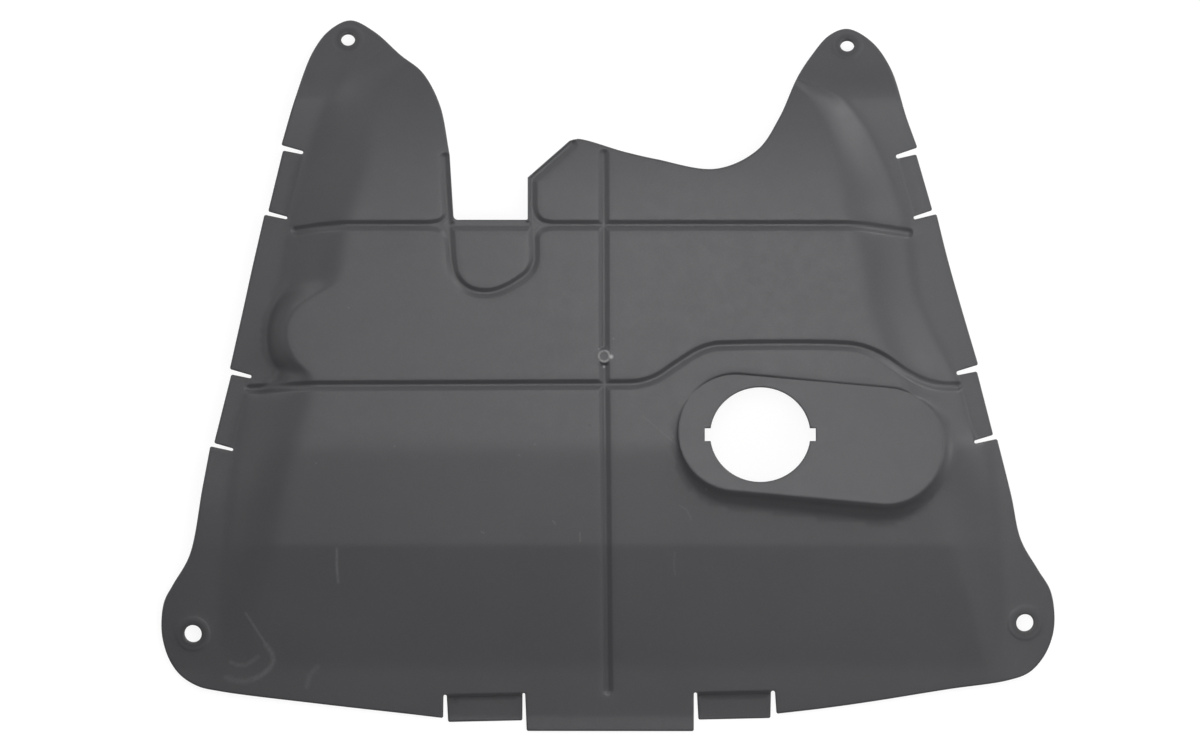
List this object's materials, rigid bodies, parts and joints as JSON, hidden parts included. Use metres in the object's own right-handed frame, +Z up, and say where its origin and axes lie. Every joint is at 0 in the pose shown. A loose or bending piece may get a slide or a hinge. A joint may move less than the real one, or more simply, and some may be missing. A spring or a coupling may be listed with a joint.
{
  "type": "engine splash shield",
  "caption": "Moulded plastic engine undershield with stiffening grooves, a raised drain pad, slit edge tabs and screw-down fixing ears.",
  "frame": {"origin": "middle of the plan, on the surface that the panel lies on", "axes": "+X across the car, +Y towards the rear of the car, +Z up out of the road side of the panel as it lies"},
  "size_m": [0.76, 0.605, 0.056],
  "materials": {
    "panel": "satin black moulded polypropylene, finely grained, with light scuffs"
  },
  "bodies": {
    "root": {"splash_shield": "panel"}
  },
  "joints": []
}
